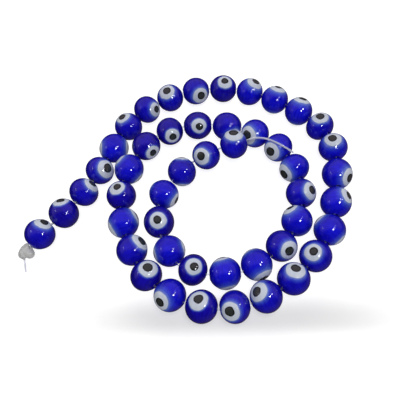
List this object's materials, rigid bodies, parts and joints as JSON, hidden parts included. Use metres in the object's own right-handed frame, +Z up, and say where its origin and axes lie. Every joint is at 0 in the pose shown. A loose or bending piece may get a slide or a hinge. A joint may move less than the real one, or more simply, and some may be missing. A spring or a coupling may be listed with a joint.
{
  "type": "evil eye bead strand",
  "caption": "Strand of round cobalt blue glass beads with white and black eye spots, strung on clear nylon thread with one knotted end, laid in a flat spiral.",
  "frame": {"origin": "centre of the laid strand's footprint, on the surface it lies on", "axes": "+X along the longest extent of the laid spiral, from the knotted end on the left to the right-hand side; +Y to the back; +Z up, the shortest extent"},
  "size_m": [0.091, 0.075, 0.0102],
  "materials": {
    "cobalt_glass": "opaque glossy lampwork glass",
    "clear_nylon": "clear nylon monofilament, milky where it is melted"
  },
  "bodies": {
    "thread": {"thread_run": "clear_nylon"},
    "outer_length_3": {"thread_outer_3": "clear_nylon"},
    "outer_length_2": {"thread_outer_2": "clear_nylon"},
    "outer_length_1": {"thread_outer_1": "clear_nylon", "end_knot": "clear_nylon", "knot_tail": "clear_nylon"},
    "inner_length_47": {"thread_inner_47": "clear_nylon"},
    "inner_length_48": {"thread_inner_48": "clear_nylon"},
    "loose_end": {"thread_loose_end": "clear_nylon"},
    "turning_bead_01": {"bead_01": "cobalt_glass"},
    "turning_bead_02": {"bead_02": "cobalt_glass"},
    "turning_bead_03": {"bead_03": "cobalt_glass"},
    "turning_bead_04": {"bead_04": "cobalt_glass"},
    "turning_bead_05": {"bead_05": "cobalt_glass"},
    "turning_bead_06": {"bead_06": "cobalt_glass"},
    "turning_bead_07": {"bead_07": "cobalt_glass"},
    "turning_bead_08": {"bead_08": "cobalt_glass"},
    "turning_bead_09": {"bead_09": "cobalt_glass"},
    "turning_bead_10": {"bead_10": "cobalt_glass"},
    "turning_bead_11": {"bead_11": "cobalt_glass"},
    "turning_bead_12": {"bead_12": "cobalt_glass"},
    "turning_bead_13": {"bead_13": "cobalt_glass"},
    "turning_bead_14": {"bead_14": "cobalt_glass"},
    "turning_bead_15": {"bead_15": "cobalt_glass"},
    "turning_bead_16": {"bead_16": "cobalt_glass"},
    "turning_bead_17": {"bead_17": "cobalt_glass"},
    "turning_bead_18": {"bead_18": "cobalt_glass"},
    "turning_bead_19": {"bead_19": "cobalt_glass"},
    "turning_bead_20": {"bead_20": "cobalt_glass"},
    "turning_bead_21": {"bead_21": "cobalt_glass"},
    "turning_bead_22": {"bead_22": "cobalt_glass"},
    "turning_bead_23": {"bead_23": "cobalt_glass"},
    "turning_bead_24": {"bead_24": "cobalt_glass"},
    "turning_bead_25": {"bead_25": "cobalt_glass"},
    "turning_bead_26": {"bead_26": "cobalt_glass"},
    "turning_bead_27": {"bead_27": "cobalt_glass"},
    "turning_bead_28": {"bead_28": "cobalt_glass"},
    "turning_bead_29": {"bead_29": "cobalt_glass"},
    "turning_bead_30": {"bead_30": "cobalt_glass"},
    "turning_bead_31": {"bead_31": "cobalt_glass"},
    "turning_bead_32": {"bead_32": "cobalt_glass"},
    "turning_bead_33": {"bead_33": "cobalt_glass"},
    "turning_bead_34": {"bead_34": "cobalt_glass"},
    "turning_bead_35": {"bead_35": "cobalt_glass"},
    "turning_bead_36": {"bead_36": "cobalt_glass"},
    "turning_bead_37": {"bead_37": "cobalt_glass"},
    "turning_bead_38": {"bead_38": "cobalt_glass"},
    "turning_bead_39": {"bead_39": "cobalt_glass"},
    "turning_bead_40": {"bead_40": "cobalt_glass"},
    "turning_bead_41": {"bead_41": "cobalt_glass"},
    "turning_bead_42": {"bead_42": "cobalt_glass"},
    "turning_bead_43": {"bead_43": "cobalt_glass"},
    "turning_bead_44": {"bead_44": "cobalt_glass"},
    "turning_bead_45": {"bead_45": "cobalt_glass"},
    "turning_bead_46": {"bead_46": "cobalt_glass"},
    "turning_bead_47": {"bead_47": "cobalt_glass"},
    "turning_bead_48": {"bead_48": "cobalt_glass"}
  },
  "joints": [
    {"name": "bend_outer_3", "type": "hinge", "parent": "thread", "child": "outer_length_3", "pos_m": [-0.02573, 0.00631, 0.00396], "axis": [0, 0, 1], "range_deg": [-12, 22]},
    {"name": "bend_outer_2", "type": "hinge", "parent": "outer_length_3", "child": "outer_length_2", "pos_m": [-0.03045, 0.00028, 0.00396], "axis": [0, 0, 1], "range_deg": [-16, 25]},
    {"name": "bend_outer_1", "type": "hinge", "parent": "outer_length_2", "child": "outer_length_1", "pos_m": [-0.03651, -0.00516, 0.00396], "axis": [0, 0, 1], "range_deg": [-20, 25]},
    {"name": "bend_inner_47", "type": "hinge", "parent": "thread", "child": "inner_length_47", "pos_m": [0.00255, 0.00828, 0.0041], "axis": [0.4736, -0.8807, 0], "range_deg": [0, 25]},
    {"name": "bend_inner_48", "type": "hinge", "parent": "inner_length_47", "child": "inner_length_48", "pos_m": [0.01027, 0.01069, 0.00538], "axis": [0.1843, -0.9829, 0], "range_deg": [0, 25]},
    {"name": "bend_loose_end", "type": "hinge", "parent": "inner_length_48", "child": "loose_end", "pos_m": [0.01855, 0.01128, 0.0069], "axis": [0.0715, -0.9974, 0], "range_deg": [0, 50]},
    {"name": "spin_01", "type": "hinge", "parent": "outer_length_1", "child": "turning_bead_01", "pos_m": [-0.03973, -0.00769, 0.00396], "axis": [0.7861, 0.6182, 0], "continuous": true},
    {"name": "spin_02", "type": "hinge", "parent": "outer_length_2", "child": "turning_bead_02", "pos_m": [-0.03348, -0.00244, 0.00396], "axis": [0.7444, 0.6677, 0], "continuous": true},
    {"name": "spin_03", "type": "hinge", "parent": "outer_length_3", "child": "turning_bead_03", "pos_m": [-0.02809, 0.0033, 0.00396], "axis": [0.6162, 0.7876, 0], "continuous": true},
    {"name": "spin_04", "type": "hinge", "parent": "thread", "child": "turning_bead_04", "pos_m": [-0.02359, 0.00955, 0.00396], "axis": [0.5519, 0.8339, 0], "continuous": true},
    {"name": "spin_05", "type": "hinge", "parent": "thread", "child": "turning_bead_05", "pos_m": [-0.01937, 0.01647, 0.00396], "axis": [0.491, 0.8712, 0], "continuous": true},
    {"name": "spin_06", "type": "hinge", "parent": "thread", "child": "turning_bead_06", "pos_m": [-0.01487, 0.02347, 0.00396], "axis": [0.5902, 0.8073, 0], "continuous": true},
    {"name": "spin_07", "type": "hinge", "parent": "thread", "child": "turning_bead_07", "pos_m": [-0.00906, 0.02887, 0.00396], "axis": [0.8508, 0.5254, 0], "continuous": true},
    {"name": "spin_08", "type": "hinge", "parent": "thread", "child": "turning_bead_08", "pos_m": [-0.00181, 0.03212, 0.00396], "axis": [0.9579, 0.287, 0], "continuous": true},
    {"name": "spin_09", "type": "hinge", "parent": "thread", "child": "turning_bead_09", "pos_m": [0.00621, 0.0335, 0.00396], "axis": [0.9986, 0.0526, 0], "continuous": true},
    {"name": "spin_10", "type": "hinge", "parent": "thread", "child": "turning_bead_10", "pos_m": [0.01446, 0.033, 0.00396], "axis": [0.9849, -0.1729, 0], "continuous": true},
    {"name": "spin_11", "type": "hinge", "parent": "thread", "child": "turning_bead_11", "pos_m": [0.02214, 0.03051, 0.00396], "axis": [0.8975, -0.441, 0], "continuous": true},
    {"name": "spin_12", "type": "hinge", "parent": "thread", "child": "turning_bead_12", "pos_m": [0.02889, 0.02626, 0.00396], "axis": [0.7858, -0.6185, 0], "continuous": true},
    {"name": "spin_13", "type": "hinge", "parent": "thread", "child": "turning_bead_13", "pos_m": [0.03491, 0.02092, 0.00396], "axis": [0.7071, -0.7071, 0], "continuous": true},
    {"name": "spin_14", "type": "hinge", "parent": "thread", "child": "turning_bead_14", "pos_m": [0.03966, 0.01467, 0.00396], "axis": [0.487, -0.8734, 0], "continuous": true},
    {"name": "spin_15", "type": "hinge", "parent": "thread", "child": "turning_bead_15", "pos_m": [0.04157, 0.00711, 0.00396], "axis": [0.0037, -1, 0], "continuous": true},
    {"name": "spin_16", "type": "hinge", "parent": "thread", "child": "turning_bead_16", "pos_m": [0.04057, -0.00139, 0.00396], "axis": [-0.2285, -0.9736, 0], "continuous": true},
    {"name": "spin_17", "type": "hinge", "parent": "thread", "child": "turning_bead_17", "pos_m": [0.03814, -0.00969, 0.00396], "axis": [-0.334, -0.9426, 0], "continuous": true},
    {"name": "spin_18", "type": "hinge", "parent": "thread", "child": "turning_bead_18", "pos_m": [0.03464, -0.01719, 0.00396], "axis": [-0.51, -0.8602, 0], "continuous": true},
    {"name": "spin_19", "type": "hinge", "parent": "thread", "child": "turning_bead_19", "pos_m": [0.02957, -0.0236, 0.00396], "axis": [-0.7202, -0.6938, 0], "continuous": true},
    {"name": "spin_20", "type": "hinge", "parent": "thread", "child": "turning_bead_20", "pos_m": [0.02307, -0.02859, 0.00396], "axis": [-0.8558, -0.5173, 0], "continuous": true},
    {"name": "spin_21", "type": "hinge", "parent": "thread", "child": "turning_bead_21", "pos_m": [0.01572, -0.03202, 0.00396], "axis": [-0.9471, -0.3209, 0], "continuous": true},
    {"name": "spin_22", "type": "hinge", "parent": "thread", "child": "turning_bead_22", "pos_m": [0.00797, -0.03352, 0.00396], "axis": [-0.9987, -0.0517, 0], "continuous": true},
    {"name": "spin_23", "type": "hinge", "parent": "thread", "child": "turning_bead_23", "pos_m": [0.00014, -0.03239, 0.00396], "axis": [-0.9468, 0.3219, 0], "continuous": true},
    {"name": "spin_24", "type": "hinge", "parent": "thread", "child": "turning_bead_24", "pos_m": [-0.00711, -0.02864, 0.00396], "axis": [-0.8099, 0.5866, 0], "continuous": true},
    {"name": "spin_25", "type": "hinge", "parent": "thread", "child": "turning_bead_25", "pos_m": [-0.01251, -0.02288, 0.00396], "axis": [-0.525, 0.8511, 0], "continuous": true},
    {"name": "spin_26", "type": "hinge", "parent": "thread", "child": "turning_bead_26", "pos_m": [-0.01576, -0.01563, 0.00396], "axis": [-0.2909, 0.9568, 0], "continuous": true},
    {"name": "spin_27", "type": "hinge", "parent": "thread", "child": "turning_bead_27", "pos_m": [-0.01761, -0.00758, 0.00396], "axis": [-0.1565, 0.9877, 0], "continuous": true},
    {"name": "spin_28", "type": "hinge", "parent": "thread", "child": "turning_bead_28", "pos_m": [-0.01786, 0.00067, 0.00396], "axis": [0.0984, 0.9951, 0], "continuous": true},
    {"name": "spin_29", "type": "hinge", "parent": "thread", "child": "turning_bead_29", "pos_m": [-0.01536, 0.00875, 0.00396], "axis": [0.4666, 0.8845, 0], "continuous": true},
    {"name": "spin_30", "type": "hinge", "parent": "thread", "child": "turning_bead_30", "pos_m": [-0.01011, 0.01575, 0.00396], "axis": [0.7212, 0.6927, 0], "continuous": true},
    {"name": "spin_31", "type": "hinge", "parent": "thread", "child": "turning_bead_31", "pos_m": [-0.00297, 0.01983, 0.00396], "axis": [0.9672, 0.2541, 0], "continuous": true},
    {"name": "spin_32", "type": "hinge", "parent": "thread", "child": "turning_bead_32", "pos_m": [0.00528, 0.02058, 0.00396], "axis": [0.9976, -0.0694, 0], "continuous": true},
    {"name": "spin_33", "type": "hinge", "parent": "thread", "child": "turning_bead_33", "pos_m": [0.01363, 0.01891, 0.00396], "axis": [0.9476, -0.3195, 0], "continuous": true},
    {"name": "spin_34", "type": "hinge", "parent": "thread", "child": "turning_bead_34", "pos_m": [0.02113, 0.01516, 0.00396], "axis": [0.8215, -0.5702, 0], "continuous": true},
    {"name": "spin_35", "type": "hinge", "parent": "thread", "child": "turning_bead_35", "pos_m": [0.02669, 0.00941, 0.00396], "axis": [0.5356, -0.8445, 0], "continuous": true},
    {"name": "spin_36", "type": "hinge", "parent": "thread", "child": "turning_bead_36", "pos_m": [0.02969, 0.00215, 0.00396], "axis": [0.2165, -0.9763, 0], "continuous": true},
    {"name": "spin_37", "type": "hinge", "parent": "thread", "child": "turning_bead_37", "pos_m": [0.0298, -0.0058, 0.00396], "axis": [-0.1809, -0.9835, 0], "continuous": true},
    {"name": "spin_38", "type": "hinge", "parent": "thread", "child": "turning_bead_38", "pos_m": [0.02705, -0.01355, 0.00396], "axis": [-0.4783, -0.8782, 0], "continuous": true},
    {"name": "spin_39", "type": "hinge", "parent": "thread", "child": "turning_bead_39", "pos_m": [0.02186, -0.01983, 0.00396], "axis": [-0.7738, -0.6334, 0], "continuous": true},
    {"name": "spin_40", "type": "hinge", "parent": "thread", "child": "turning_bead_40", "pos_m": [0.01486, -0.02383, 0.00396], "axis": [-0.9395, -0.3427, 0], "continuous": true},
    {"name": "spin_41", "type": "hinge", "parent": "thread", "child": "turning_bead_41", "pos_m": [0.00686, -0.025, 0.00396], "axis": [-0.9986, 0.0522, 0], "continuous": true},
    {"name": "spin_42", "type": "hinge", "parent": "thread", "child": "turning_bead_42", "pos_m": [-0.00089, -0.023, 0.00396], "axis": [-0.8944, 0.4472, 0], "continuous": true},
    {"name": "spin_43", "type": "hinge", "parent": "thread", "child": "turning_bead_43", "pos_m": [-0.00628, -0.01724, 0.00396], "axis": [-0.417, 0.9089, 0], "continuous": true},
    {"name": "spin_44", "type": "hinge", "parent": "thread", "child": "turning_bead_44", "pos_m": [-0.00828, -0.00874, 0.00396], "axis": [-0.038, 0.9993, 0], "continuous": true},
    {"name": "spin_45", "type": "hinge", "parent": "thread", "child": "turning_bead_45", "pos_m": [-0.00632, -0.00066, 0.00396], "axis": [0.5123, 0.8588, 0], "continuous": true},
    {"name": "spin_46", "type": "hinge", "parent": "thread", "child": "turning_bead_46", "pos_m": [-0.00082, 0.00559, 0.00403], "axis": [0.7822, 0.6228, 0.0162], "continuous": true},
    {"name": "spin_47", "type": "hinge", "parent": "inner_length_47", "child": "turning_bead_47", "pos_m": [0.00641, 0.00948, 0.00474], "axis": [0.943, 0.294, 0.1561], "continuous": true},
    {"name": "spin_48", "type": "hinge", "parent": "inner_length_48", "child": "turning_bead_48", "pos_m": [0.01441, 0.01098, 0.00614], "axis": [0.9811, 0.0703, 0.1804], "continuous": true}
  ]
}
